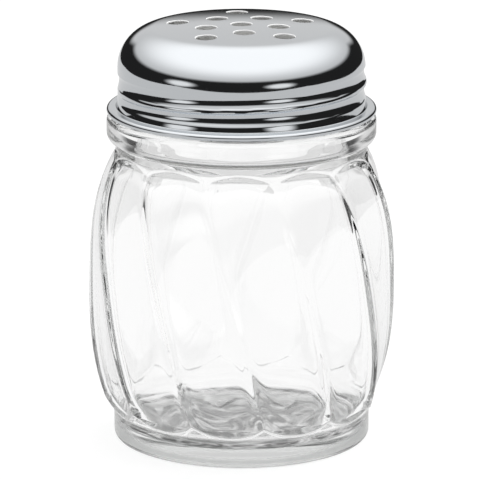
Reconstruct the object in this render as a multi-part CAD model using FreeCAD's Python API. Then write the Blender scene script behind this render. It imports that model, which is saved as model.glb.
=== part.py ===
import FreeCAD, Part
import math
import os

from FreeCAD import Vector

# Swirl glass shaker: a fluted glass jar and a perforated screw lid of plated steel sheet.
# Lengths are in millimetres. +Z is up, the axis of the jar is Z, and the jar stands on Z = 0.
# Angles are in degrees, counted anticlockwise from +X as seen from above.

# Jar, outside
flute_count = 12
foot_radius = 33.4
foot_height = 6.9
heel_round = 2.0
belly_radius = 39.8
lower_barrel = 37.1
upper_barrel = 34.0
heel_step = 2.45
lower_arch = 3.9
shoulder_step = 1.4
upper_arch = 2.5
flute_hollow = 0.75
flute_end_hollow = 0.12
flute_lift = 0.12
flute_flare = 1.0
foot_run_out = 1.6
swirl_angle = 25.3
ridge_angle_at_belly = -93.5
recess_depth = 2.4
recess_height = 1.3
collar_ledge = 4.6
collar_height = 6.9
collar_top_round = 1.5
neck_wall = 3.3
neck_height = 11.3

# Jar, inside and underneath
wall = 2.6
base_thickness = 4.2
inner_corner = 5.0
bore_radius = 27.0
lip_round = 1.5
inner_chamfer = 0.9
bearing_width = 2.2
punt_depth = 1.5

# Lid, pressed from one sheet, with room for the screw thread between its skirt and the neck
sheet = 0.4
thread_space = 1.3
mouth_gap = 1.1
dome_side_round = 10.5
dome_side_angle = 35.0
dome_knuckle_round = 10.0
dome_crown_angle = 86.0
hole_radius = 2.75
hole_ring_count = 5
inner_ring_radius = 9.8
outer_ring_radius = 17.0
hole_pattern_angle = -86.0

# Lid brim, a cove that ends in a rolled edge
curl_radius = 0.7
cove_radius = 1.4
seat_gap = 0.3

# Construction
overrun = 2.0
body_stations = 7
wall_stations = 5

# Heights worked out from the sizes above
belly_level = foot_height + lower_barrel
recess_level = belly_level + upper_barrel
collar_level = recess_level + recess_height
ledge_level = collar_level + collar_height
mouth_level = ledge_level + neck_height
ridge_low_level = foot_height + lower_arch
ridge_high_level = recess_level - upper_arch
curl_level = ledge_level + seat_gap + curl_radius
crease_level = curl_level + curl_radius + cove_radius
dome_level = mouth_level + mouth_gap

# Radii worked out from the sizes above
half_flute = 180.0 / flute_count
neck_radius = bore_radius + neck_wall
collar_radius = neck_radius + collar_ledge
recess_radius = collar_radius - recess_depth
skirt_inner_radius = neck_radius + thread_space
skirt_radius = skirt_inner_radius + sheet
ridge_low_radius = foot_radius + heel_step
ridge_high_radius = recess_radius + shoulder_step


def polar(radius, angle, height):
    turn = math.radians(angle)
    return Vector(radius * math.cos(turn), radius * math.sin(turn), height)


def section_point(point):
    radius, height = point
    return Vector(radius, 0, height)


def line(start, end):
    return Part.LineSegment(section_point(start), section_point(end)).toShape()


def round_corner(center, radius, angle_from, angle_to):
    """Arc in the section plane, with angles counted from the radial direction towards +Z."""
    points = []
    for angle in (angle_from, (angle_from + angle_to) / 2, angle_to):
        turn = math.radians(angle)
        points.append(section_point((center[0] + radius * math.cos(turn), center[1] + radius * math.sin(turn))))
    return Part.Arc(points[0], points[1], points[2]).toShape()


def revolved(edges):
    face = Part.Face(Part.Wire(Part.__sortEdges__(edges)))
    return face.revolve(Vector(0, 0, 0), Vector(0, 0, 1), 360)


def ridge_radius(level):
    """Radius of the ridges between flutes: nearly straight at the belly, drawn in towards both ends."""
    if level < belly_level:
        reach = belly_level - ridge_low_level
        draw = belly_radius - ridge_low_radius
    else:
        reach = ridge_high_level - belly_level
        draw = belly_radius - ridge_high_radius
    share = abs(level - belly_level) / reach
    return belly_radius - draw * share ** 3


def hollow_depth(level):
    """How far a flute is hollowed below the flat between two ridges."""
    share = (level - ridge_low_level) / (ridge_high_level - ridge_low_level)
    inside = max(0, min(1, share))
    return flute_end_hollow + (flute_hollow - flute_end_hollow) * math.sin(math.pi * inside)


def floor_radius(level):
    return ridge_radius(level) * math.cos(math.radians(half_flute)) - hollow_depth(level)


def ridge_angle(level):
    """The swirl is left-handed: the ridges turn clockwise, seen from above, on the way up."""
    rate = swirl_angle / (ridge_high_level - ridge_low_level)
    return ridge_angle_at_belly - rate * (level - belly_level)


def flute_section(level, ridge, floor):
    edges = []
    for index in range(flute_count):
        start_angle = ridge_angle(level) + index * 2 * half_flute
        start = polar(ridge, start_angle, level)
        middle = polar(floor, start_angle + half_flute, level)
        end = polar(ridge, start_angle + 2 * half_flute, level)
        edges.append(Part.Arc(start, middle, end).toShape())
    return Part.Wire(edges)


def run_out_section(level, floor):
    """A section past the end of the flutes, where they leave the glass."""
    ridge = (floor + flute_end_hollow) / math.cos(math.radians(half_flute))
    return flute_section(level, ridge, floor)


def fluted_form():
    """The twisted form with hollow flutes that the barrel is pressed to."""
    sections = [
        run_out_section(foot_height - foot_run_out, foot_radius + flute_flare),
        run_out_section(foot_height, foot_radius + flute_lift),
    ]
    for index in range(body_stations):
        share = index / (body_stations - 1)
        level = ridge_low_level + share * (ridge_high_level - ridge_low_level)
        sections.append(flute_section(level, ridge_radius(level), floor_radius(level)))
    sections.append(run_out_section(recess_level, recess_radius + flute_lift))
    sections.append(run_out_section(collar_level, recess_radius + flute_flare))
    return Part.makeLoft(sections, True, False)


def turned_form():
    """The jar's outline of revolution: foot, heel and shoulder cones, recess, collar bead and neck."""
    cover = belly_radius + overrun
    low_slope = heel_step / lower_arch
    high_slope = shoulder_step / upper_arch
    low_cover = foot_height + (cover - foot_radius) / low_slope
    high_cover = recess_level - (cover - recess_radius) / high_slope
    if low_cover > high_cover:
        meet = (low_slope * foot_height + high_slope * recess_level + recess_radius - foot_radius)
        low_cover = meet / (low_slope + high_slope)
        high_cover = low_cover
        cover = foot_radius + (low_cover - foot_height) * low_slope
    foot_corner = (foot_radius, foot_height)
    recess_corner = (recess_radius, recess_level)
    bead_low = collar_level + recess_depth
    bead_top = ledge_level - collar_top_round
    lip_level = mouth_level - lip_round
    lip_center = (neck_radius - lip_round, lip_level)
    edges = [
        line((0, 0), (foot_radius - heel_round, 0)),
        round_corner((foot_radius - heel_round, heel_round), heel_round, -90, 0),
        line((foot_radius, heel_round), foot_corner),
        line(foot_corner, (cover, low_cover)),
        line((cover, high_cover), recess_corner),
        line(recess_corner, (recess_radius, collar_level)),
        round_corner((recess_radius, bead_low), recess_depth, -90, 0),
        line((collar_radius, bead_low), (collar_radius, bead_top)),
        round_corner((collar_radius - collar_top_round, bead_top), collar_top_round, 0, 90),
        line((collar_radius - collar_top_round, ledge_level), (neck_radius, ledge_level)),
        line((neck_radius, ledge_level), (neck_radius, lip_level)),
        round_corner(lip_center, lip_round, 0, 90),
        line((neck_radius - lip_round, mouth_level), (0, mouth_level)),
        line((0, mouth_level), (0, 0)),
    ]
    if high_cover > low_cover:
        edges.append(line((cover, low_cover), (cover, high_cover)))
    return revolved(edges)


def cavity_form():
    """The hollow of the jar: rounded bottom corner, barrel in short straight tapers, and straight bore."""
    corner_level = base_thickness + inner_corner
    top_level = ridge_high_level - upper_arch
    points = []
    for index in range(wall_stations):
        level = corner_level + (top_level - corner_level) * index / (wall_stations - 1)
        points.append((floor_radius(level) - wall, level))
    corner_radius = points[0][0]
    points.append((bore_radius, collar_level))
    over = mouth_level + overrun
    lip_level = mouth_level - inner_chamfer
    edges = [
        line((0, base_thickness), (corner_radius - inner_corner, base_thickness)),
        round_corner((corner_radius - inner_corner, corner_level), inner_corner, -90, 0),
        line((bore_radius, collar_level), (bore_radius, lip_level)),
        line((bore_radius, lip_level), (bore_radius + inner_chamfer, mouth_level)),
        line((bore_radius + inner_chamfer, mouth_level), (bore_radius + inner_chamfer, over)),
        line((bore_radius + inner_chamfer, over), (0, over)),
        line((0, over), (0, base_thickness)),
    ]
    edges.extend(line(points[index], points[index + 1]) for index in range(wall_stations))
    return revolved(edges)


def punt_form():
    """The shallow hollow under the jar, which leaves a narrow ring to stand on."""
    reach = foot_radius - heel_round - bearing_width
    radius = (reach ** 2 + punt_depth ** 2) / (2 * punt_depth)
    rim_angle = math.degrees(math.acos(reach / radius))
    edges = [
        round_corner((0, punt_depth - radius), radius, rim_angle, 90),
        line((0, punt_depth), (0, -overrun)),
        line((0, -overrun), (reach, -overrun)),
        line((reach, -overrun), (reach, 0)),
    ]
    return revolved(edges)


def dome_edges(radius, inset):
    """Side, knuckle and crown of the dome as tangent arcs, drawn the sheet's thickness in for the inside."""
    side = dome_side_round - inset
    knuckle = dome_knuckle_round - inset
    side_center = (radius - side, dome_level)
    reach = dome_side_round - dome_knuckle_round
    turn = math.radians(dome_side_angle)
    knuckle_center = (side_center[0] + reach * math.cos(turn), side_center[1] + reach * math.sin(turn))
    rise = math.radians(dome_crown_angle)
    crown = knuckle + knuckle_center[0] / math.cos(rise)
    crown_level = knuckle_center[1] - knuckle_center[0] * math.tan(rise)
    edges = [
        round_corner(side_center, side, 0, dome_side_angle),
        round_corner(knuckle_center, knuckle, dome_side_angle, dome_crown_angle),
        round_corner((0, crown_level), crown, dome_crown_angle, 90),
    ]
    return edges, (0, crown_level + crown)


def lid_blank(radius, inset, low_level):
    """Skirt and dome turned as one solid form."""
    dome, apex = dome_edges(radius, inset)
    edges = [line((radius, low_level), (radius, dome_level))]
    edges.extend(dome)
    edges.append(line(apex, (0, low_level)))
    edges.append(line((0, low_level), (radius, low_level)))
    return revolved(edges)


def pour_holes():
    """Eleven punched holes: one in the middle and two staggered rings of five."""
    low = dome_level
    height = dome_side_round + dome_knuckle_round
    places = [(0, 0)]
    step = 360.0 / hole_ring_count
    for index in range(hole_ring_count):
        places.append((inner_ring_radius, hole_pattern_angle + index * step))
        places.append((outer_ring_radius, hole_pattern_angle + (index + 0.5) * step))
    tools = []
    for radius, angle in places:
        tools.append(Part.makeCylinder(hole_radius, height, polar(radius, angle, low)))
    return tools


def make_jar():
    low = foot_height - foot_run_out
    waste = Part.makeCylinder(belly_radius + 2 * overrun, collar_level - low, Vector(0, 0, low))
    waste = waste.cut(fluted_form())
    body = turned_form().cut(waste)
    return body.cut([cavity_form(), punt_form()])


def make_lid():
    outside = lid_blank(skirt_radius, 0, crease_level)
    inside = lid_blank(skirt_inner_radius, sheet, crease_level)
    return outside.cut(inside).cut(pour_holes())


def make_brim():
    """Cove and tightly rolled edge of the lid, from the crease down to the jar's collar."""
    cove_center = (skirt_radius + cove_radius, crease_level)
    curl_center = (collar_radius - curl_radius, curl_level)
    top = curl_level + curl_radius
    under = top - sheet
    reach = math.sqrt(curl_radius ** 2 - (curl_radius - sheet) ** 2)
    turn = math.degrees(math.atan2(curl_radius - sheet, -reach))
    edges = [
        line((skirt_inner_radius, crease_level), (skirt_radius, crease_level)),
        round_corner(cove_center, cove_radius, 180, 270),
        line((cove_center[0], top), (curl_center[0], top)),
        round_corner(curl_center, curl_radius, 90, turn - 360),
        line((curl_center[0] - reach, under), (cove_center[0], under)),
        round_corner(cove_center, cove_radius + sheet, 270, 180),
    ]
    return revolved(edges)


def write_part(name, shape):
    solids = shape.Solids
    kept = solids[0] if len(solids) == 1 else Part.makeCompound(solids)
    kept.exportStep(os.path.join("parts", name + ".step"))
    box = kept.BoundBox
    print(name, len(solids), "solid", "valid" if kept.isValid() else "INVALID", round(kept.Volume, 1),
          [round(value, 2) for value in (box.XMin, box.YMin, box.ZMin, box.XMax, box.YMax, box.ZMax)])


os.makedirs("parts", exist_ok=True)
write_part("glass_jar", make_jar())
write_part("lid_cap", make_lid())
write_part("lid_brim", make_brim())
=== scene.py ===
import math

import bpy
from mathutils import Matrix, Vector


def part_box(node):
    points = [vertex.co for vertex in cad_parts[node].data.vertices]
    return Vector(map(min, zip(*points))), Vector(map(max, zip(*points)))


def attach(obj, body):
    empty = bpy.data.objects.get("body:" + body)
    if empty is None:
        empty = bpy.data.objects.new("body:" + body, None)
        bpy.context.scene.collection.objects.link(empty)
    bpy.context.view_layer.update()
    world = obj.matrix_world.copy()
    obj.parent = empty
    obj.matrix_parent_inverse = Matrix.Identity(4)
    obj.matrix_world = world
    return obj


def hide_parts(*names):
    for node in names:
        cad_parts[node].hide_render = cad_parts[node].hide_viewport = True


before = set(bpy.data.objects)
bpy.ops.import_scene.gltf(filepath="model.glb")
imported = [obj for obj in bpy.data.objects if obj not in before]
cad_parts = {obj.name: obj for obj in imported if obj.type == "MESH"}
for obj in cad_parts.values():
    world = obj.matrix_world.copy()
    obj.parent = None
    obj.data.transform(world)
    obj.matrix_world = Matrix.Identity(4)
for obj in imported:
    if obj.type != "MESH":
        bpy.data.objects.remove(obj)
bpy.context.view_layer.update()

# Swirl glass shaker: a fluted glass jar and a perforated screw lid of plated steel sheet.
# Sizes are in millimetres and angles in degrees, counted anticlockwise from +X as seen from above.
MM = 0.001

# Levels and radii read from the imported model
_, jar_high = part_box("glass_jar")
cap_low, cap_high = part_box("lid_cap")
brim_low, brim_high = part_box("lid_brim")
mouth_level = jar_high.z / MM
crease_level = cap_low.z / MM
skirt_radius = cap_high.x / MM
collar_radius = brim_high.x / MM
brim_level = brim_low.z / MM

# Jar, outside
flute_count = 12
foot_radius = 33.4
foot_height = 6.9
heel_round = 2.0
belly_radius = 39.9
belly_level = 44.0
recess_radius = 32.5
recess_level = 78.0
collar_level = 79.3
ledge_level = 86.2
heel_step = 2.45
lower_arch = 3.9
shoulder_step = 1.4
upper_arch = 2.5
ridge_low_level = foot_height + lower_arch
ridge_high_level = recess_level - upper_arch
collar_under_round = 2.4
collar_under_end = -84.0
collar_top_round = 1.5
ledge_fillet = 0.6
neck_radius = 30.3
flute_hollow = 0.75
flute_end_hollow = 0.12
least_hollow = 0.05
petal_step = 0.5
foot_run_out = 1.6
swirl_angle = 25.3
ridge_angle_at_belly = -93.5

# Rounding of the pressed edges, as the length over which two surfaces melt together
ridge_softness_low = 0.55
ridge_softness_high = 1.0
arch_edge = 0.3
arch_step = 0.65
root_softness = 0.25
inner_softness = 3.0

# Jar, inside and underneath
wall = 2.6
inner_flute_rise = 8.0
inner_flute_fade = 4.0
base_thickness = 4.2
inner_corner = 4.0
bore_radius = 27.0
shoulder_start = 71.0
shoulder_end = 81.0
barrel_overlap = 3.0
lip_round = 1.5
bearing_width = 2.2
punt_depth = 0.6

# Screw thread, right-handed, on the neck and rolled into the skirt of the lid
pitch = 4.7
thread_height = 0.95
thread_width = 1.5
thread_turns = 1.3
thread_start_angle = -80.0
thread_start_level = 89.6
thread_fade_turns = 0.14
valley_depth = 0.42
valley_above = 1.4
valley_below = 3.3
valley_level = 90.85
valley_start_angle = 180.0
valley_turns = 1.75
crest_swell = 0.3
crest_above = 2.2
crest_below = 0.6
crest_turns = 1.0
foot_fade = 1.2
roll_fade_turns = 0.12
lip_power = 2.4

# Lid
sheet = 0.4
dome_level = 98.6
dome_side_round = 10.5
dome_side_angle = 35.0
dome_knuckle_round = 10.0
dome_crown_angle = 86.0
hole_radius = 2.75
hole_edge = 0.16
hole_ring_count = 5
inner_ring_radius = 9.8
outer_ring_radius = 17.0
hole_pattern_angle = -86.0
punch_length = 4.0
curl_radius = 0.9
curl_sweep = 290.0
cove_radius = 0.2
flare_round = 20.0
flare_lean = 11.0
brim_top = brim_level + 2 * curl_radius
cove_top = brim_top + cove_radius * (1 - math.sin(math.radians(flare_lean)))
flare_top = cove_top + flare_round * math.sin(math.radians(flare_lean))

# Angles past which an edge of the sheet stays sharp: at the punched holes, and at the rolled brim
hole_fold = 32.0
sheet_fold = 50.0

# Patterns of the materials: widths of the waves and grains, depths of the waves, and the grain's range
glass_wave = 9.0
glass_wave_depth = 0.05
press_wave = 14.0
press_wave_depth = 0.03
wipe_grain = 0.7
mill_grain = 0.5
grain_low = 0.35
grain_high = 0.75

# Stippled ring under the foot, up to this height above the table and out from these radii
stipple_height = 0.3
stipple_clear = 0.8
stipple_rough = 0.45
stipple_start = 16.0
stipple_full = 24.0

# Mesh density: columns round the axis, and spacings and arc steps of the rows of an outline
columns_per_flute = 28
column_crowding = 0.6
lid_columns = 256
hole_corners = 64
floor_rows = 4.0
bore_rows = 2.5
barrel_rows = 1.05
edge_rows = 1.0
foot_rows = 0.8
thread_rows = 0.36
arch_rows = 0.3
arch_reach = 2.0
inner_row_count = 44
skirt_rows = 0.2
brim_rows = 0.15
sheet_rows = 0.3
punt_row_count = 12
fillet_step = 22.5
wide_step = 15.0
round_step = 9.0
bead_step = 7.0
corner_step = 5.0
dome_step = 3.0
crown_step = 0.35
weld_distance = 0.001

# Studio
camera_distance = 1160.0
camera_height = 355.0
target_level = 54.0
focal_pixels = 4606.5
image_pixels = 480.0
axis_pixel = (241.5, 233.4)
sensor_width = 36.0
lamp_place = (350.0, 250.0, 1300.0)
lamp_size = 1100.0
lamp_watts = 14.0

# Table: how much it glows for the camera, and what shows of it in metal and glass, where a painted shadow
# lies under the jar with painted caustic streaks in it
floor_reach = 1000.0
floor_front = 565.0
glow_share = 0.82
mirrored_loss = 0.24
# Painted shadow under the jar, seen in metal and glass: the glow drops to the first value, painted caustic
# streaks reach the second, and it clears between the two radii
painted_shadow_glow = 0.1
painted_caustic_glow = 0.75
caustic_size = 11.0
caustic_low = 0.42
caustic_high = 0.68
painted_shadow_start = 32.0
painted_shadow_end = 35.0

# Room, by the direction's length along X, Y or Z: a dark band above the table, and two soft lights in it
side_edge = 0.25
rear_edge = 0.08
rear_start = 0.8
rear_full = 0.96
flank_start = 0.45
flank_full = 0.75
dusk = 0.12
room_dark = 0.02
room_low = 0.75
room_high = 1.5
room_low_rise = 0.3
room_high_rise = 0.85
blob_lift = 3.0
blob_shine = 1.1
blob_flat = 2.2
blob_core_share = 0.35
blob_turns_and_widths = ((-58.0, 0.34), (36.0, 0.32))


def add(tree, kind, links=(), **settings):
    """Adds a node, makes its settings, and fills its inputs with values, sockets or nodes."""
    node = tree.nodes.new(kind)
    for name, value in settings.items():
        setattr(node, name, value)
    pairs = links.items() if isinstance(links, dict) else enumerate(links)
    for key, value in pairs:
        if isinstance(value, bpy.types.Node):
            value = value.outputs[0]
        if isinstance(value, bpy.types.NodeSocket):
            tree.links.new(value, node.inputs[key])
        else:
            node.inputs[key].default_value = value
    return node


def linear(code):
    """An sRGB hex colour as linear RGBA."""
    shares = [int(code[place:place + 2], 16) / 255 for place in (1, 3, 5)]
    return [s / 12.92 if s <= 0.04045 else ((s + 0.055) / 1.055) ** 2.4 for s in shares] + [1.0]


# Outlines, as rows of (radius, level)

def run(start, end, spacing):
    """Rows along a straight stretch, without its first point."""
    length = math.hypot(end[0] - start[0], end[1] - start[1])
    count = max(1, math.ceil(length / spacing))
    return [(start[0] + (end[0] - start[0]) * k / count, start[1] + (end[1] - start[1]) * k / count)
            for k in range(1, count + 1)]


def bend(center, radius, start, end, step=round_step):
    """Rows along an arc, without its first point."""
    count = max(2, math.ceil(abs(end - start) / step))
    rows = []
    for k in range(1, count + 1):
        turn = math.radians(start + (end - start) * k / count)
        rows.append((center[0] + radius * math.cos(turn), center[1] + radius * math.sin(turn)))
    return rows


def smooth(share):
    share = max(0, min(1, share))
    return share * share * (3 - 2 * share)


def ridge_radius(level):
    """Radius of the ridges between flutes: nearly straight at the belly, drawn in towards both ends."""
    if level < belly_level:
        draw = belly_radius - foot_radius - heel_step
        share = (belly_level - level) / (belly_level - ridge_low_level)
    else:
        draw = belly_radius - recess_radius - shoulder_step
        share = (level - belly_level) / (ridge_high_level - belly_level)
    return belly_radius - draw * share ** 3


def hollow_depth(level):
    share = (level - ridge_low_level) / (ridge_high_level - ridge_low_level)
    return flute_end_hollow + (flute_hollow - flute_end_hollow) * math.sin(math.pi * max(0, min(1, share)))


def floor_radius(level):
    return ridge_radius(level) * math.cos(math.pi / flute_count) - hollow_depth(level)


def shallow_ridge(floor):
    """Radius of the ridge between two flutes with this floor, where they are as shallow as at their ends."""
    return (floor + flute_end_hollow) / math.cos(math.pi / flute_count)


def inner_radius(level):
    """The inside of the barrel, which narrows in one soft curve to the bore."""
    barrel = floor_radius(min(level, shoulder_start + barrel_overlap)) - wall
    share = smooth((level - shoulder_start) / (shoulder_end - shoulder_start))
    return barrel + (bore_radius - barrel) * share


def jar_rows():
    """The outline from the inside of the floor up, over the mouth and down to the hollow underneath."""
    corner_level = base_thickness + inner_corner
    corner_radius = inner_radius(corner_level)
    rows = [((0, base_thickness), "plain")]

    def extend(points, kind="plain"):
        rows.extend((point, kind) for point in points)

    def line(radius, level, spacing, kind="plain"):
        extend(run(rows[-1][0], (radius, level), spacing), kind)

    line(corner_radius - inner_corner, base_thickness, floor_rows)
    extend(bend((corner_radius - inner_corner, corner_level), inner_corner, -90, 0, corner_step))
    rise = (shoulder_end - corner_level) / inner_row_count
    levels = [corner_level + rise * k for k in range(1, inner_row_count + 1)]
    extend([(inner_radius(level), level) for level in levels], "inner")
    lip_level = mouth_level - lip_round
    line(bore_radius, lip_level, bore_rows)
    extend(bend((bore_radius + lip_round, lip_level), lip_round, 180, 90, wide_step))
    extend(bend((neck_radius - lip_round, lip_level), lip_round, 90, 0, wide_step))
    fillet_top = ledge_level + ledge_fillet
    line(neck_radius, fillet_top, thread_rows, "threaded")
    extend(bend((neck_radius + ledge_fillet, fillet_top), ledge_fillet, 180, 270, fillet_step))
    top = collar_radius - collar_top_round
    line(top, ledge_level, edge_rows)
    extend(bend((top, ledge_level - collar_top_round), collar_top_round, 90, 0))
    bead_low = collar_level + collar_under_round
    line(collar_radius, bead_low, edge_rows)
    extend(bend((recess_radius, bead_low), collar_under_round, 0, collar_under_end, bead_step))
    level = collar_level
    while level > foot_height - foot_run_out:
        near_end = level > ridge_high_level - arch_reach or level < ridge_low_level + arch_reach
        level -= arch_rows if near_end else barrel_rows
        extend([(ridge_radius(max(ridge_low_level, min(ridge_high_level, level))), level)], "fluted")
    extend(run((foot_radius, level), (foot_radius, heel_round), foot_rows))
    extend(bend((foot_radius - heel_round, heel_round), heel_round, 0, -90))
    reach = foot_radius - heel_round - bearing_width
    line(reach, 0, foot_rows)
    radius = (reach ** 2 + punt_depth ** 2) / (2 * punt_depth)
    rim = math.degrees(math.acos(reach / radius))
    extend(bend((0, punt_depth - radius), radius, rim, 90, (90 - rim) / punt_row_count))
    return rows


def jar_attributes(rows):
    """What the flutes follow at each row of the jar's outline."""
    values = {}
    low_slope = heel_step / lower_arch
    high_slope = shoulder_step / upper_arch
    for (_, level), kind in rows:
        inside = max(ridge_low_level, min(ridge_high_level, level))
        ridge = ridge_radius(inside)
        floor = floor_radius(inside)
        if level < ridge_low_level:
            share = (ridge_low_level - level) / lower_arch
            floor += (foot_radius + petal_step - floor) * share
            ridge = shallow_ridge(floor)
        if level > ridge_high_level:
            share = (level - ridge_high_level) / upper_arch
            floor += (recess_radius + petal_step / 2 - floor) * share
            ridge = shallow_ridge(floor)
        half_chord = ridge * math.sin(math.pi / flute_count)
        depth = max(least_hollow, ridge * math.cos(math.pi / flute_count) - floor)
        curve = (half_chord ** 2 + depth ** 2) / (2 * depth)
        share = smooth((level - foot_height) / (recess_level - foot_height))
        cover = min(foot_radius + (level - foot_height) * low_slope,
                    recess_radius + (recess_level - level) * high_slope)
        core = foot_radius + (recess_radius - foot_radius) * share
        softness = ridge_softness_low + (ridge_softness_high - ridge_softness_low) * share
        fluting = float(kind == "fluted")
        offset = 0
        if kind == "inner":
            rise = smooth((level - base_thickness - inner_corner) / inner_flute_rise)
            fluting = rise * (1 - smooth((level - shoulder_start) / inner_flute_fade))
            softness = inner_softness
            core = 0
            cover = 2 * belly_radius
            offset = -wall
        lengths = {"core": core, "cover": cover, "far": floor + curve, "round": curve, "softness": softness,
                   "offset": offset, "swirl_level": max(foot_height, min(recess_level, level))}
        shares = {"fluted": fluting, "threaded": float(kind == "threaded")}
        for name, value in shares.items():
            values.setdefault(name, []).append(value)
        for name, length in lengths.items():
            values.setdefault(name, []).append(length * MM)
    return values


def profile_object(name, points, attributes):
    """An outline as a mesh of points in the XZ plane, one for each row."""
    mesh = bpy.data.meshes.new(name)
    mesh.from_pydata([(radius * MM, 0, level * MM) for radius, level in points],
                     [(k, k + 1) for k in range(len(points) - 1)], [])
    for key, values in attributes.items():
        layer = mesh.attributes.new(key, "FLOAT", "POINT")
        layer.data.foreach_set("value", values)
    obj = bpy.data.objects.new(name, mesh)
    bpy.context.scene.collection.objects.link(obj)
    return obj


# Geometry Nodes

def new_tree(name, sockets, result="Geometry"):
    """An empty node tree with these inputs by kind and one output, and its group input and output nodes."""
    tree = bpy.data.node_groups.new(name, "GeometryNodeTree")
    for kind, labels in sockets.items():
        for label in labels:
            tree.interface.new_socket(label, in_out="INPUT", socket_type="NodeSocket" + kind)
    tree.interface.new_socket("Result", in_out="OUTPUT", socket_type="NodeSocket" + result)
    return tree, tree.nodes.new("NodeGroupInput").outputs, tree.nodes.new("NodeGroupOutput")


# What a tree hands on to its threads: first what they share, then what each has for itself
thread_labels = ("Pitch", "Fade turns")
bead_labels = ("Start angle", "Start level", "Turns", "Width above", "Width below", "Lip", "Height")


def helix_group():
    """How far a rolled or moulded thread stands out at an angle and a level."""
    sockets = {"Float": ("Angle", "Level") + thread_labels + bead_labels}
    tree, given, result = new_tree("helical_bead", sockets, "Float")
    turn = add(tree, "ShaderNodeMath", (given["Angle"], given["Start angle"]), operation="SUBTRACT")
    turn = add(tree, "ShaderNodeMath", (turn, math.tau), operation="DIVIDE")
    turn = add(tree, "ShaderNodeMath", (turn,), operation="FRACT")
    climb = add(tree, "ShaderNodeMath", (given["Level"], given["Start level"]), operation="SUBTRACT")
    climb = add(tree, "ShaderNodeMath", (climb, given["Pitch"]), operation="DIVIDE")
    whole = add(tree, "ShaderNodeMath", (climb, turn), operation="SUBTRACT")
    whole = add(tree, "ShaderNodeMath", (whole,), operation="ROUND")
    along = add(tree, "ShaderNodeMath", (whole, turn), operation="ADD")
    off = add(tree, "ShaderNodeMath", (climb, along), operation="SUBTRACT")
    off = add(tree, "ShaderNodeMath", (off, given["Pitch"]), operation="MULTIPLY")
    above = add(tree, "ShaderNodeMath", (off, 0.0), operation="GREATER_THAN")
    width = add(tree, "ShaderNodeMix", {"Factor": above, "A": given["Width below"],
                                        "B": given["Width above"]})
    off = add(tree, "ShaderNodeMath", (off,), operation="ABSOLUTE")
    off = add(tree, "ShaderNodeMath", (off, width), operation="DIVIDE")
    off = add(tree, "ShaderNodeMath", (off, 1.0), operation="MINIMUM")
    swell = add(tree, "ShaderNodeMapRange", {"Value": off, "From Min": 1.0, "From Max": 0.0},
                interpolation_type="SMOOTHSTEP")
    lip = add(tree, "ShaderNodeMath", (off, lip_power), operation="POWER")
    lip = add(tree, "ShaderNodeMath", (1.0, lip), operation="SUBTRACT")
    sharp = add(tree, "ShaderNodeMath", (above, given["Lip"]), operation="MULTIPLY")
    bump = add(tree, "ShaderNodeMix", {"Factor": sharp, "A": swell, "B": lip})
    rise = add(tree, "ShaderNodeMapRange", {"Value": along, "From Min": 0.0, "From Max": given["Fade turns"]},
               interpolation_type="SMOOTHSTEP")
    left = add(tree, "ShaderNodeMath", (given["Turns"], along), operation="SUBTRACT")
    fall = add(tree, "ShaderNodeMapRange", {"Value": left, "From Min": 0.0, "From Max": given["Fade turns"]},
               interpolation_type="SMOOTHSTEP")
    height = add(tree, "ShaderNodeMath", (given["Height"], bump), operation="MULTIPLY")
    height = add(tree, "ShaderNodeMath", (height, rise), operation="MULTIPLY")
    height = add(tree, "ShaderNodeMath", (height, fall), operation="MULTIPLY")
    tree.links.new(height.outputs[0], result.inputs[0])
    return tree


def row_grid(tree, profile, columns):
    """A flat grid with a row for each point of the outline and a column for each step round the axis."""
    size = add(tree, "GeometryNodeAttributeDomainSize", (profile,))
    rows = size.outputs["Point Count"]
    last_row = add(tree, "ShaderNodeMath", (rows, 1.0), operation="SUBTRACT")
    column_points = add(tree, "ShaderNodeMath", (columns, 1.0), operation="ADD")
    grid = add(tree, "GeometryNodeMeshGrid", (last_row, columns, rows, column_points))
    place = add(tree, "ShaderNodeSeparateXYZ", (add(tree, "GeometryNodeInputPosition"),))
    row = add(tree, "ShaderNodeMath", (last_row, 0.5, place.outputs[0]), operation="MULTIPLY_ADD")
    row = add(tree, "ShaderNodeMath", (row,), operation="ROUND")
    column = add(tree, "ShaderNodeMath", (columns, 0.5, place.outputs[1]), operation="MULTIPLY_ADD")
    column = add(tree, "ShaderNodeMath", (column,), operation="ROUND")
    spot = add(tree, "GeometryNodeSampleIndex", {"Geometry": profile, "Index": row,
                                                 "Value": add(tree, "GeometryNodeInputPosition")},
               data_type="FLOAT_VECTOR")
    spot = add(tree, "ShaderNodeSeparateXYZ", (spot,))
    return grid.outputs[0], row, column, spot.outputs[0], spot.outputs[2]


def row_value(tree, profile, row, name):
    """The value that the outline holds under this name at a row."""
    named = add(tree, "GeometryNodeInputNamedAttribute", (name,), data_type="FLOAT")
    return add(tree, "GeometryNodeSampleIndex", {"Geometry": profile, "Value": named, "Index": row},
               data_type="FLOAT")


def turned(tree, grid, radius, angle, level):
    """The grid wrapped round the axis, with its seam and poles closed."""
    flat = []
    for part in ("COSINE", "SINE"):
        share = add(tree, "ShaderNodeMath", (angle,), operation=part)
        flat.append(add(tree, "ShaderNodeMath", (radius, share), operation="MULTIPLY"))
    place = add(tree, "ShaderNodeCombineXYZ", (*flat, level))
    moved = add(tree, "GeometryNodeSetPosition", {"Geometry": grid, "Position": place})
    return add(tree, "GeometryNodeMergeByDistance", {"Geometry": moved, "Distance": weld_distance * MM})


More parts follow.
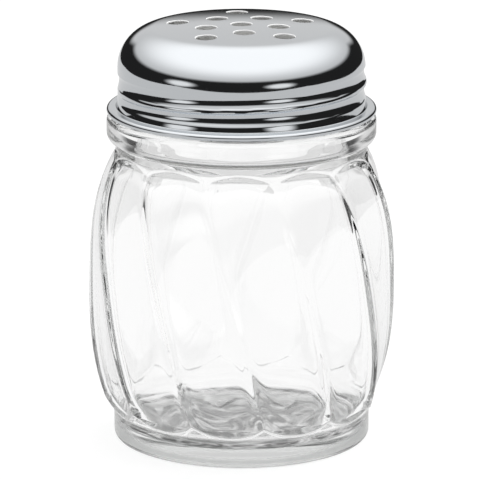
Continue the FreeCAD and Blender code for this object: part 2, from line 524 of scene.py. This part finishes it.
def finished(tree, shape, result, links, fold=None):
    """Ends a tree: smooth faces with sharp edges past the fold angle, one real mesh, and its material."""
    shape = add(tree, "GeometryNodeSetShadeSmooth", {"Geometry": shape})
    if fold:
        corner = add(tree, "GeometryNodeInputMeshEdgeAngle")
        sharp = add(tree, "ShaderNodeMath", (corner.outputs[0], math.radians(fold)), operation="GREATER_THAN")
        shape = add(tree, "GeometryNodeSetShadeSmooth", {"Geometry": shape, "Selection": sharp,
                                                         "Shade Smooth": False}, domain="EDGE")
    shape = add(tree, "GeometryNodeRealizeInstances", (shape,))
    shape = add(tree, "GeometryNodeSetMaterial", {"Geometry": shape, **links})
    tree.links.new(shape.outputs[0], result.inputs[0])
    return tree


def jar_tree(helix):
    flutes = ("Crowding", "Swirl rate", "Belly angle", "Belly level", "Arch edge", "Arch step",
              "Root softness")
    sockets = {"Geometry": ("Profile",), "Int": ("Flutes", "Columns per flute"),
               "Float": flutes + thread_labels + bead_labels, "Material": ("Material",)}
    tree, given, result = new_tree("swirl_jar", sockets)
    profile = given["Profile"]
    columns = add(tree, "ShaderNodeMath", (given["Flutes"], given["Columns per flute"]), operation="MULTIPLY")
    grid, row, column, radius, level = row_grid(tree, profile, columns)

    # Angle round the jar: columns lie on the swirl, and crowd together at the ridges
    flute = add(tree, "ShaderNodeMath", (column, given["Columns per flute"]), operation="DIVIDE")
    number = add(tree, "ShaderNodeMath", (flute,), operation="FLOOR")
    across = add(tree, "ShaderNodeMath", (flute, number), operation="SUBTRACT")
    across = add(tree, "ShaderNodeMath", (across, 2.0, -1.0), operation="MULTIPLY_ADD")
    wave = add(tree, "ShaderNodeMath", (across, math.pi / 2), operation="MULTIPLY")
    wave = add(tree, "ShaderNodeMath", (wave,), operation="SINE")
    spread = add(tree, "ShaderNodeMix", {"Factor": given["Crowding"], "A": across, "B": wave})
    half = add(tree, "ShaderNodeMath", (math.pi, given["Flutes"]), operation="DIVIDE")
    local = add(tree, "ShaderNodeMath", (spread, half), operation="MULTIPLY")
    middle = add(tree, "ShaderNodeMath", (number, 2.0, 1.0), operation="MULTIPLY_ADD")
    middle = add(tree, "ShaderNodeMath", (middle, half), operation="MULTIPLY")
    swirl = row_value(tree, profile, row, "swirl_level")
    swirl = add(tree, "ShaderNodeMath", (swirl, given["Belly level"]), operation="SUBTRACT")
    swirl = add(tree, "ShaderNodeMath", (swirl, given["Swirl rate"]), operation="MULTIPLY")
    swirl = add(tree, "ShaderNodeMath", (given["Belly angle"], swirl), operation="SUBTRACT")
    angle = add(tree, "ShaderNodeMath", (swirl, middle), operation="ADD")
    angle = add(tree, "ShaderNodeMath", (angle, local), operation="ADD")

    # Radius: two neighbouring hollow flutes melt together at the ridge, and die out in the cone and the core
    near = add(tree, "ShaderNodeMath", (local,), operation="ABSOLUTE")
    beyond = add(tree, "ShaderNodeMath", (half, 2.0), operation="MULTIPLY")
    beyond = add(tree, "ShaderNodeMath", (beyond, near), operation="SUBTRACT")
    far = row_value(tree, profile, row, "far")
    curve = row_value(tree, profile, row, "round")
    square = add(tree, "ShaderNodeMath", (curve, curve), operation="MULTIPLY")
    hollows = []
    for side in (near, beyond):
        forward = add(tree, "ShaderNodeMath", (side,), operation="COSINE")
        forward = add(tree, "ShaderNodeMath", (far, forward), operation="MULTIPLY")
        aside = add(tree, "ShaderNodeMath", (side,), operation="SINE")
        aside = add(tree, "ShaderNodeMath", (far, aside), operation="MULTIPLY")
        aside = add(tree, "ShaderNodeMath", (aside, aside), operation="MULTIPLY")
        reach = add(tree, "ShaderNodeMath", (square, aside), operation="SUBTRACT")
        reach = add(tree, "ShaderNodeMath", (reach, 0.0), operation="MAXIMUM")
        reach = add(tree, "ShaderNodeMath", (reach,), operation="SQRT")
        hollows.append(add(tree, "ShaderNodeMath", (forward, reach), operation="SUBTRACT"))
    softness = row_value(tree, profile, row, "softness")
    body = add(tree, "ShaderNodeMath", (hollows[0], hollows[1], softness), operation="SMOOTH_MIN")
    cover = row_value(tree, profile, row, "cover")
    lead = add(tree, "ShaderNodeMath", (cover, body), operation="SUBTRACT")
    lead = add(tree, "ShaderNodeMapRange", {"Value": lead, "From Min": 0.0, "From Max": given["Arch edge"]},
               interpolation_type="SMOOTHSTEP")
    below = add(tree, "ShaderNodeMath", (cover, given["Arch step"]), operation="SUBTRACT")
    body = add(tree, "ShaderNodeMix", {"Factor": lead, "A": below, "B": body})
    core = row_value(tree, profile, row, "core")
    body = add(tree, "ShaderNodeMath", (body, core, given["Root softness"]), operation="SMOOTH_MAX")
    body = add(tree, "ShaderNodeMath", (body, row_value(tree, profile, row, "offset")), operation="ADD")
    fluted = row_value(tree, profile, row, "fluted")
    radius = add(tree, "ShaderNodeMix", {"Factor": fluted, "A": radius, "B": body})

    # Thread on the neck
    links = {label: given[label] for label in thread_labels + bead_labels}
    bead = add(tree, "GeometryNodeGroup", {"Angle": angle, "Level": level, **links}, node_tree=helix)
    threaded = row_value(tree, profile, row, "threaded")
    radius = add(tree, "ShaderNodeMath", (bead, threaded, radius), operation="MULTIPLY_ADD")

    shape = turned(tree, grid, radius, angle, level)
    return finished(tree, shape, result, {"Material": given["Material"]})


def lid_tree(helix):
    holes = ("Hole radius", "Hole edge", "Punch length", "Inner ring", "Outer ring", "Pattern angle",
             "Crown radius", "Crown center")
    rolled = tuple(f"{part} {label.lower()}" for part in ("Valley", "Crest") for label in bead_labels)
    sockets = {"Geometry": ("Profile",), "Int": ("Columns", "Hole corners", "Holes in ring"),
               "Float": thread_labels + rolled + holes,
               "Material": ("Material", "Inner material", "Edge material")}
    tree, given, result = new_tree("perforated_lid", sockets)
    profile = given["Profile"]
    grid, row, column, radius, level = row_grid(tree, profile, given["Columns"])
    angle = add(tree, "ShaderNodeMath", (column, given["Columns"]), operation="DIVIDE")
    angle = add(tree, "ShaderNodeMath", (angle, math.tau), operation="MULTIPLY")
    threaded = row_value(tree, profile, row, "threaded")
    for part in ("Valley", "Crest"):
        links = {label: given[f"{part} {label.lower()}"] for label in bead_labels}
        links.update({label: given[label] for label in thread_labels})
        wave = add(tree, "GeometryNodeGroup", {"Angle": angle, "Level": level, **links}, node_tree=helix)
        radius = add(tree, "ShaderNodeMath", (wave, threaded, radius), operation="MULTIPLY_ADD")
    shell = add(tree, "GeometryNodeSetMaterial", {"Geometry": grid, "Material": given["Material"]})
    inner = row_value(tree, profile, row, "inner")
    inner = add(tree, "ShaderNodeMath", (inner, 0.5), operation="GREATER_THAN")
    shell = add(tree, "GeometryNodeSetMaterial", {"Geometry": shell, "Selection": inner,
                                                  "Material": given["Inner material"]})
    shell = turned(tree, shell, radius, angle, level)
    shell = add(tree, "GeometryNodeFlipFaces", (shell,))

    # Punches: a round tool with a short flare that breaks the edge, square to the crown at each place
    step = add(tree, "ShaderNodeMath", (math.pi, given["Holes in ring"]), operation="DIVIDE")
    rings = []
    for name, turn in (("Inner ring", 0.0), ("Outer ring", 1.0)):
        ring = add(tree, "GeometryNodeMeshCircle", {"Vertices": given["Holes in ring"],
                                                    "Radius": given[name]})
        spin = add(tree, "ShaderNodeMath", (step, turn, given["Pattern angle"]), operation="MULTIPLY_ADD")
        spin = add(tree, "ShaderNodeCombineXYZ", (0.0, 0.0, spin))
        rings.append(add(tree, "GeometryNodeTransform", {"Geometry": ring, "Rotation": spin}))
    center = add(tree, "GeometryNodeMeshLine", {"Count": 1})
    places = add(tree, "GeometryNodeJoinGeometry")
    for piece in rings + [center]:
        tree.links.new(piece.outputs[0], places.inputs[0])
    spot = add(tree, "ShaderNodeSeparateXYZ", (add(tree, "GeometryNodeInputPosition"),))
    across = add(tree, "ShaderNodeMath", (spot.outputs[0], spot.outputs[0]), operation="MULTIPLY")
    across = add(tree, "ShaderNodeMath", (spot.outputs[1], spot.outputs[1], across), operation="MULTIPLY_ADD")
    drop = add(tree, "ShaderNodeMath", (given["Crown radius"], given["Crown radius"]), operation="MULTIPLY")
    drop = add(tree, "ShaderNodeMath", (drop, across), operation="SUBTRACT")
    drop = add(tree, "ShaderNodeMath", (drop,), operation="SQRT")
    normal = add(tree, "ShaderNodeCombineXYZ", (spot.outputs[0], spot.outputs[1], drop))
    height = add(tree, "ShaderNodeMath", (drop, given["Crown center"]), operation="ADD")
    on_crown = add(tree, "ShaderNodeCombineXYZ", (spot.outputs[0], spot.outputs[1], height))
    turn = add(tree, "FunctionNodeAlignRotationToVector", {"Vector": normal}, axis="Z")
    stored = add(tree, "GeometryNodeStoreNamedAttribute", {"Geometry": places, "Name": "tilt", "Value": turn},
                 data_type="QUATERNION")
    stored = add(tree, "GeometryNodeSetPosition", {"Geometry": stored, "Position": on_crown})
    tilt = add(tree, "GeometryNodeInputNamedAttribute", ("tilt",), data_type="QUATERNION")
    punch = add(tree, "GeometryNodeMeshCylinder", {"Vertices": given["Hole corners"],
                                                   "Radius": given["Hole radius"],
                                                   "Depth": given["Punch length"]})
    flare_radius = add(tree, "ShaderNodeMath", (given["Hole edge"], 2.0, given["Hole radius"]),
                       operation="MULTIPLY_ADD")
    flare_depth = add(tree, "ShaderNodeMath", (given["Hole edge"], 2.0), operation="MULTIPLY")
    lift = add(tree, "ShaderNodeMath", (given["Hole edge"], -1.0), operation="MULTIPLY")
    lift = add(tree, "ShaderNodeCombineXYZ", (0.0, 0.0, lift))
    flare = add(tree, "GeometryNodeMeshCone", {"Vertices": given["Hole corners"], "Radius Top": flare_radius,
                                               "Radius Bottom": given["Hole radius"], "Depth": flare_depth})
    flare = add(tree, "GeometryNodeTransform", {"Geometry": flare, "Translation": lift})
    cut = add(tree, "GeometryNodeMeshBoolean", operation="DIFFERENCE", solver="EXACT")
    tree.links.new(shell.outputs[0], cut.inputs["Mesh 1"])
    for tool in (punch, flare):
        tools = add(tree, "GeometryNodeInstanceOnPoints", {"Points": stored, "Instance": tool,
                                                           "Rotation": tilt})
        tools = add(tree, "GeometryNodeRealizeInstances", (tools,))
        tree.links.new(tools.outputs[0], cut.inputs["Mesh 2"])
    known = [add(tree, "GeometryNodeMaterialSelection", {"Material": given[name]})
             for name in ("Material", "Inner material")]
    walls = add(tree, "FunctionNodeBooleanMath", known, operation="NOR")
    return finished(tree, cut, result, {"Selection": walls, "Material": given["Edge material"]}, hole_fold)


def brim_tree():
    sockets = {"Geometry": ("Profile",), "Int": ("Columns",), "Material": ("Material",)}
    tree, given, result = new_tree("rolled_brim", sockets)
    grid, _, column, radius, level = row_grid(tree, given["Profile"], given["Columns"])
    angle = add(tree, "ShaderNodeMath", (column, given["Columns"]), operation="DIVIDE")
    angle = add(tree, "ShaderNodeMath", (angle, math.tau), operation="MULTIPLY")
    shape = turned(tree, grid, radius, angle, level)
    return finished(tree, shape, result, {"Material": given["Material"]}, sheet_fold)


def made_by(tree, profile, values, name):
    """Runs a tree on an outline and keeps the result as a plain mesh in a new object."""
    modifier = profile.modifiers.new("shape", "NODES")
    modifier.node_group = tree
    for item in tree.interface.items_tree:
        if item.in_out == "INPUT" and item.name in values:
            modifier[item.identifier] = values[item.name]
    depsgraph = bpy.context.evaluated_depsgraph_get()
    mesh = bpy.data.meshes.new_from_object(profile.evaluated_get(depsgraph))
    mesh.name = name
    profile.modifiers.remove(modifier)
    bpy.data.objects.remove(profile)
    obj = bpy.data.objects.new(name, mesh)
    bpy.context.scene.collection.objects.link(obj)
    return obj


# Materials

def new_material(name):
    """An empty node material, its tree, and the place on the object that its patterns read."""
    material = bpy.data.materials.new(name)
    material.use_nodes = True
    tree = material.node_tree
    tree.nodes.clear()
    return material, tree, add(tree, "ShaderNodeTexCoord").outputs["Object"]


def grained(tree, place, width, detail, low, high):
    """A roughness that a fine grain moves between two values."""
    grain = add(tree, "ShaderNodeTexNoise", {"Vector": place, "Scale": 1 / (width * MM), "Detail": detail})
    return add(tree, "ShaderNodeMapRange", {"Value": grain, "From Min": grain_low, "From Max": grain_high,
                                            "To Min": low, "To Max": high})


def clear_glass():
    """Pressed soda-lime glass, fire-polished: clear, very faintly grey in its thick parts, with the slight
    waviness of a skin that cooled against the mould, and a stippled ring under the foot against scratches."""
    material, tree, place = new_material("fire_polished_soda_lime_glass")
    broad = add(tree, "ShaderNodeTexNoise", {"Vector": place, "Scale": 1 / (glass_wave * MM), "Detail": 2.0})
    bump = add(tree, "ShaderNodeBump", {"Strength": 0.25, "Distance": glass_wave_depth * MM, "Height": broad})
    height = add(tree, "ShaderNodeSeparateXYZ", (place,)).outputs[2]
    under = add(tree, "ShaderNodeMapRange", {"Value": height, "From Min": stipple_clear * MM,
                                             "From Max": stipple_height * MM})
    flat = add(tree, "ShaderNodeVectorMath", (place, (1.0, 1.0, 0.0)), operation="MULTIPLY")
    outwards = add(tree, "ShaderNodeVectorMath", (flat,), operation="LENGTH").outputs["Value"]
    ring = add(tree, "ShaderNodeMapRange", {"Value": outwards, "From Min": stipple_start * MM,
                                            "From Max": stipple_full * MM}, interpolation_type="SMOOTHSTEP")
    stipple = add(tree, "ShaderNodeMath", (under, ring), operation="MULTIPLY")
    stipple = add(tree, "ShaderNodeMath", (stipple, stipple_rough), operation="MULTIPLY")
    surface = add(tree, "ShaderNodeBsdfPrincipled", {"Base Color": linear("#FFFFFF"), "Roughness": stipple,
                                                     "IOR": 1.52, "Transmission Weight": 1.0, "Normal": bump})
    clear = add(tree, "ShaderNodeBsdfTransparent", {"Color": linear("#F6F8F7")})
    path = add(tree, "ShaderNodeLightPath")
    skin = add(tree, "ShaderNodeMixShader", {0: path.outputs["Is Shadow Ray"], 1: surface, 2: clear})
    depth = add(tree, "ShaderNodeVolumeAbsorption", {"Color": linear("#E6E7E6"), "Density": 12.0})
    result = add(tree, "ShaderNodeOutputMaterial", {"Surface": skin, "Volume": depth})
    result.is_active_output = True
    return material


def bright_chrome():
    """Nickel-chrome plate on polished steel sheet: a mirror with a cool grey tint, slight waviness from the
    press and faint wiping marks."""
    material, tree, place = new_material("bright_nickel_chrome_plate")
    waves = add(tree, "ShaderNodeTexNoise", {"Vector": place, "Scale": 1 / (press_wave * MM), "Detail": 1.0})
    rough = grained(tree, place, wipe_grain, 3.0, 0.045, 0.085)
    bump = add(tree, "ShaderNodeBump", {"Strength": 0.2, "Distance": press_wave_depth * MM, "Height": waves})
    surface = add(tree, "ShaderNodeBsdfPrincipled", {"Base Color": linear("#CED1D4"), "Metallic": 1.0,
                                                     "Roughness": rough, "Normal": bump})
    add(tree, "ShaderNodeOutputMaterial", {"Surface": surface})
    return material


def dull_nickel():
    """The unpolished inside of the lid: nickel strike over bare sheet, satin from the rolling mill."""
    material, tree, place = new_material("satin_nickel_strike")
    rough = grained(tree, place, mill_grain, 4.0, 0.42, 0.55)
    surface = add(tree, "ShaderNodeBsdfPrincipled", {"Base Color": linear("#D6D6D4"), "Metallic": 1.0,
                                                     "Roughness": rough})
    add(tree, "ShaderNodeOutputMaterial", {"Surface": surface})
    return material


def painted_glint_edge():
    """The punched walls and broken edges of the holes: pale matt, a painted glint in place of the light that
    the cut edges catch, so that they scatter light from all sides and show bright beside the plate."""
    material, tree, place = new_material("punched_edge_painted_glint")
    rough = grained(tree, place, mill_grain, 4.0, 0.9, 1.0)
    # Near white and matt: a painted glint on the hole walls and edges
    surface = add(tree, "ShaderNodeBsdfPrincipled", {"Base Color": linear("#E7E7E7"), "Roughness": rough})
    add(tree, "ShaderNodeOutputMaterial", {"Surface": surface})
    return material


# Pieces

def make_jar(material, helix):
    rows = jar_rows()
    profile = profile_object("jar_outline", [row[0] for row in rows], jar_attributes(rows))
    rate = math.radians(swirl_angle) / ((ridge_high_level - ridge_low_level) * MM)
    values = {
        "Flutes": flute_count, "Columns per flute": columns_per_flute, "Crowding": column_crowding,
        "Swirl rate": rate, "Belly angle": math.radians(ridge_angle_at_belly),
        "Belly level": belly_level * MM,
        "Arch edge": arch_edge * MM, "Arch step": arch_step * MM, "Root softness": root_softness * MM,
        "Start angle": math.radians(thread_start_angle), "Start level": thread_start_level * MM,
        "Pitch": pitch * MM, "Turns": thread_turns, "Fade turns": thread_fade_turns, "Lip": 0.0,
        "Width above": thread_width * MM, "Width below": thread_width * MM, "Height": thread_height * MM,
        "Material": material,
    }
    return made_by(jar_tree(helix), profile, values, "jar_glass")


def dome_rows(radius, inset):
    """Rows of the dome's outline from the skirt to the apex, drawn in by the sheet for its inside."""
    side = dome_side_round - inset
    knuckle = dome_knuckle_round - inset
    side_center = (radius - side, dome_level)
    reach = dome_side_round - dome_knuckle_round
    turn = math.radians(dome_side_angle)
    knuckle_center = (side_center[0] + reach * math.cos(turn), side_center[1] + reach * math.sin(turn))
    rise = math.radians(dome_crown_angle)
    crown = knuckle + knuckle_center[0] / math.cos(rise)
    crown_level = knuckle_center[1] - knuckle_center[0] * math.tan(rise)
    rows = bend(side_center, side, 0, dome_side_angle, dome_step)
    rows += bend(knuckle_center, knuckle, dome_side_angle, dome_crown_angle, dome_step)
    rows += bend((0, crown_level), crown, dome_crown_angle, 90, crown_step)
    rows[-1] = (0, crown_level + crown)
    return rows, crown, crown_level


def skirt_at(level):
    """Radius of the skirt before its thread is rolled: its foot leans out along a wide arc."""
    drop = max(0, flare_top - level)
    return skirt_radius + flare_round - math.sqrt(flare_round ** 2 - drop ** 2)


def make_lid(material, inner_material, edge_material, helix):
    outside, crown, crown_level = dome_rows(skirt_radius, 0)
    inside, _, _ = dome_rows(skirt_radius - sheet, sheet)
    levels = [crease_level] + [level for _, level in run((0, crease_level), (0, dome_level), skirt_rows)]
    skirt = [(skirt_at(level), level) for level in levels]
    inner_skirt = [(radius - sheet, level) for radius, level in skirt]
    points = inside[::-1] + inner_skirt[::-1] + skirt + outside
    rolled = [smooth((level - crease_level) / foot_fade) for level in levels]
    threaded = [0.0] * len(inside) + rolled[::-1] + rolled + [0.0] * len(outside)
    inner = [1.0] * (len(inside) + len(inner_skirt)) + [0.0] * (len(skirt) + len(outside))
    profile = profile_object("lid_outline", points, {"threaded": threaded, "inner": inner})
    values = {
        "Columns": lid_columns, "Pitch": pitch * MM, "Fade turns": roll_fade_turns,
        "Valley start angle": math.radians(valley_start_angle), "Valley start level": valley_level * MM,
        "Valley turns": valley_turns, "Valley lip": 1.0, "Valley height": -valley_depth * MM,
        "Valley width above": valley_above * MM, "Valley width below": valley_below * MM,
        "Crest start angle": math.radians(valley_start_angle),
        "Crest start level": (valley_level + valley_above) * MM,
        "Crest turns": crest_turns, "Crest lip": 0.0, "Crest height": crest_swell * MM,
        "Crest width above": crest_above * MM, "Crest width below": crest_below * MM,
        "Hole radius": hole_radius * MM,
        "Hole edge": hole_edge * MM, "Hole corners": hole_corners, "Punch length": punch_length * MM,
        "Holes in ring": hole_ring_count, "Inner ring": inner_ring_radius * MM,
        "Outer ring": outer_ring_radius * MM, "Pattern angle": math.radians(hole_pattern_angle),
        "Crown radius": crown * MM, "Crown center": crown_level * MM, "Material": material,
        "Inner material": inner_material, "Edge material": edge_material,
    }
    return made_by(lid_tree(helix), profile, values, "lid_dome")


def make_brim(material):
    lean = math.radians(flare_lean)
    curl = (collar_radius - curl_radius, brim_level + curl_radius)
    cove = (skirt_at(cove_top) + cove_radius * math.cos(lean), brim_top + cove_radius)
    levels = [crease_level] + [level for _, level in run((0, crease_level), (0, cove_top), brim_rows)]
    foot = [(skirt_at(level), level) for level in levels]
    points = foot + bend(cove, cove_radius, 180 + flare_lean, 270)
    points += run((cove[0], brim_top), (curl[0], brim_top), sheet_rows)
    points += bend(curl, curl_radius, 90, 90 - curl_sweep)
    inner = (curl[0] - math.sqrt(curl_radius ** 2 - (curl_radius - sheet) ** 2), brim_top - sheet)
    points += [inner]
    points += run(inner, (cove[0], brim_top - sheet), sheet_rows)
    points += bend(cove, cove_radius + sheet, 270, 180 + flare_lean)
    points += [(radius - sheet, level) for radius, level in foot[::-1][1:]]
    points += [points[0]]
    profile = profile_object("brim_outline", points, {})
    return made_by(brim_tree(), profile, {"Columns": lid_columns, "Material": material}, "lid_rim")


# Studio

def studio_floor():
    """A pale table that keeps a soft shadow and runs out of the picture on all sides. Metal and glass show it
    white, a little duller straight off the plate, and under the jar a painted shadow, grey with painted
    streaks of gathered light."""
    reach = floor_reach * MM
    front = floor_front * MM
    mesh = bpy.data.meshes.new("table")
    mesh.from_pydata([(-reach, -front, 0), (reach, -front, 0), (reach, reach, 0), (-reach, reach, 0)], [],
                     [(0, 1, 2, 3)])
    material, tree, place = new_material("white_table")
    path = add(tree, "ShaderNodeLightPath")
    glossy = path.outputs["Is Glossy Ray"]
    mirrored = add(tree, "ShaderNodeMath", (glossy, path.outputs["Is Transmission Ray"]), operation="MAXIMUM")
    outwards = add(tree, "ShaderNodeVectorMath", (place,), operation="LENGTH").outputs["Value"]
    # Painted caustic streaks inside a painted shadow under the jar, for what metal and glass show
    streaks = add(tree, "ShaderNodeTexNoise", {"Vector": place, "Scale": 1 / (caustic_size * MM),
                                               "Detail": 3.0, "Distortion": 2.5})
    streaks = add(tree, "ShaderNodeMapRange", {"Value": streaks, "From Min": caustic_low,
                                               "From Max": caustic_high, "To Min": painted_shadow_glow,
                                               "To Max": painted_caustic_glow})
    clear = add(tree, "ShaderNodeMapRange", {"Value": outwards, "From Min": painted_shadow_start * MM,
                                             "From Max": painted_shadow_end * MM, "To Min": streaks,
                                             "To Max": 1.0}, interpolation_type="SMOOTHSTEP")
    paper = add(tree, "ShaderNodeBsdfDiffuse", {"Color": linear("#F2F2F2")})
    white = add(tree, "ShaderNodeEmission", {"Color": linear("#FFFFFF"), "Strength": 1.0})
    direct = add(tree, "ShaderNodeMath", (path.outputs["Transmission Depth"], 1.0), operation="LESS_THAN")
    dulled = add(tree, "ShaderNodeMath", (glossy, direct), operation="MULTIPLY")
    dulled = add(tree, "ShaderNodeMath", (dulled, -mirrored_loss, 1.0), operation="MULTIPLY_ADD")
    dulled = add(tree, "ShaderNodeMath", (clear, dulled), operation="MULTIPLY")
    mirror = add(tree, "ShaderNodeEmission", {"Color": linear("#FFFFFF"), "Strength": dulled})
    share = add(tree, "ShaderNodeMath", (path.outputs["Is Camera Ray"], glow_share), operation="MULTIPLY")
    mix = add(tree, "ShaderNodeMixShader", {0: share, 1: paper, 2: white})
    mix = add(tree, "ShaderNodeMixShader", {0: mirrored, 1: mix, 2: mirror})
    add(tree, "ShaderNodeOutputMaterial", {"Surface": mix})
    mesh.materials.append(material)
    table = bpy.data.objects.new("table", mesh)
    bpy.context.scene.collection.objects.link(table)


def studio_world():
    """A white room seen straight, and a studio with a dark band above the table in what metal shows. Through
    glass the band shows only at the flanks."""
    world = bpy.data.worlds.new("studio")
    bpy.context.scene.world = world
    world.use_nodes = True
    tree = world.node_tree
    tree.nodes.clear()
    direction = add(tree, "ShaderNodeTexCoord").outputs["Generated"]
    parts = add(tree, "ShaderNodeSeparateXYZ", (direction,))
    behind = add(tree, "ShaderNodeMapRange", {"Value": parts.outputs[1], "From Min": rear_start,
                                              "From Max": rear_full, "To Min": side_edge,
                                              "To Max": rear_edge}, interpolation_type="SMOOTHSTEP")
    height = add(tree, "ShaderNodeMath", (parts.outputs[2], behind), operation="SUBTRACT")
    height = add(tree, "ShaderNodeMapRange", {"Value": height, "From Min": 0.0, "From Max": dusk},
                 interpolation_type="SMOOTHSTEP")
    path = add(tree, "ShaderNodeLightPath")
    through = add(tree, "ShaderNodeMath", (path.outputs["Transmission Depth"], 0.5), operation="GREATER_THAN")
    aside = add(tree, "ShaderNodeMath", (parts.outputs[0],), operation="ABSOLUTE")
    aside = add(tree, "ShaderNodeMapRange", {"Value": aside, "From Min": flank_start, "From Max": flank_full,
                                             "To Min": 1.0, "To Max": 0.0}, interpolation_type="SMOOTHSTEP")
    aside = add(tree, "ShaderNodeMath", (aside, through), operation="MULTIPLY")
    height = add(tree, "ShaderNodeMath", (height, aside), operation="MAXIMUM")
    above = add(tree, "ShaderNodeMapRange", {"Value": parts.outputs[2], "From Min": room_low_rise,
                                             "From Max": room_high_rise, "To Min": room_low,
                                             "To Max": room_high}, interpolation_type="SMOOTHSTEP")
    light = add(tree, "ShaderNodeMix", {"Factor": height, "A": room_dark, "B": above})
    for azimuth, width in blob_turns_and_widths:
        turn = math.radians(azimuth - 90)
        lift = math.radians(blob_lift)
        aim = (math.cos(turn) * math.cos(lift), math.sin(turn) * math.cos(lift), math.sin(lift))
        gap = add(tree, "ShaderNodeVectorMath", (direction, aim), operation="SUBTRACT")
        gap = add(tree, "ShaderNodeVectorMath", (gap, (1.0, 1.0, blob_flat)), operation="MULTIPLY")
        gap = add(tree, "ShaderNodeVectorMath", (gap,), operation="LENGTH").outputs["Value"]
        glow = add(tree, "ShaderNodeMapRange", {"Value": gap, "From Min": width,
                                                "From Max": width * blob_core_share, "To Min": 0.0,
                                                "To Max": blob_shine}, interpolation_type="SMOOTHSTEP")
        light = add(tree, "ShaderNodeMath", (light, glow), operation="ADD")
    studio = add(tree, "ShaderNodeBackground", {"Color": linear("#FFFFFF"), "Strength": light})
    white = add(tree, "ShaderNodeBackground", {"Color": linear("#FFFFFF"), "Strength": 1.0})
    mix = add(tree, "ShaderNodeMixShader", {0: path.outputs["Is Camera Ray"], 1: studio, 2: white})
    add(tree, "ShaderNodeOutputWorld", {"Surface": mix})


def studio_lamp():
    """A square soft box that faces the middle of the shaker and lights it without showing in it."""
    lamp = bpy.data.lights.new("overhead", "AREA")
    lamp.shape = "SQUARE"
    lamp.size = lamp_size * MM
    lamp.energy = lamp_watts
    obj = bpy.data.objects.new("overhead", lamp)
    obj.location = Vector(lamp_place) * MM
    aim = Vector((0, 0, target_level)) - Vector(lamp_place)
    obj.rotation_euler = aim.to_track_quat("-Z", "Y").to_euler()
    obj.visible_glossy = False
    obj.visible_transmission = False
    bpy.context.scene.collection.objects.link(obj)


def studio_camera():
    """The camera of the photograph: a long lens, looking down by a seventh of its distance."""
    camera = bpy.data.cameras.new("camera")
    camera.sensor_width = sensor_width
    camera.lens = focal_pixels * sensor_width / image_pixels
    camera.clip_start = 0.05
    camera.clip_end = 50.0
    obj = bpy.data.objects.new("camera", camera)
    bpy.context.scene.collection.objects.link(obj)
    place = Vector((0, -camera_distance, camera_height))
    target = Vector((0, 0, target_level))
    aim = (target - place).normalized()
    right = Vector((1, 0, 0))
    up = right.cross(aim)
    slant = (target - place).length / focal_pixels
    middle = image_pixels / 2
    target = target - right * (axis_pixel[0] - middle) * slant + up * (axis_pixel[1] - middle) * slant
    aim = (target - place).normalized()
    obj.location = place * MM
    obj.rotation_euler = aim.to_track_quat("-Z", "Y").to_euler()
    bpy.context.scene.camera = obj


studio_camera()
studio_floor()
studio_world()
studio_lamp()

helix = helix_group()
glass = clear_glass()
chrome = bright_chrome()

jar = make_jar(glass, helix)
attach(jar, "jar")
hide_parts("glass_jar")

lid = make_lid(chrome, dull_nickel(), painted_glint_edge(), helix)
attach(lid, "lid")
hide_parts("lid_cap")

rim = make_brim(chrome)
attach(rim, "brim")
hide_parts("lid_brim")

scene = bpy.context.scene
scene.view_settings.view_transform = "Standard"

# Light goes through many glass faces before it leaves the jar
scene.cycles.max_bounces = 32
scene.cycles.transmission_bounces = 32
scene.cycles.glossy_bounces = 16
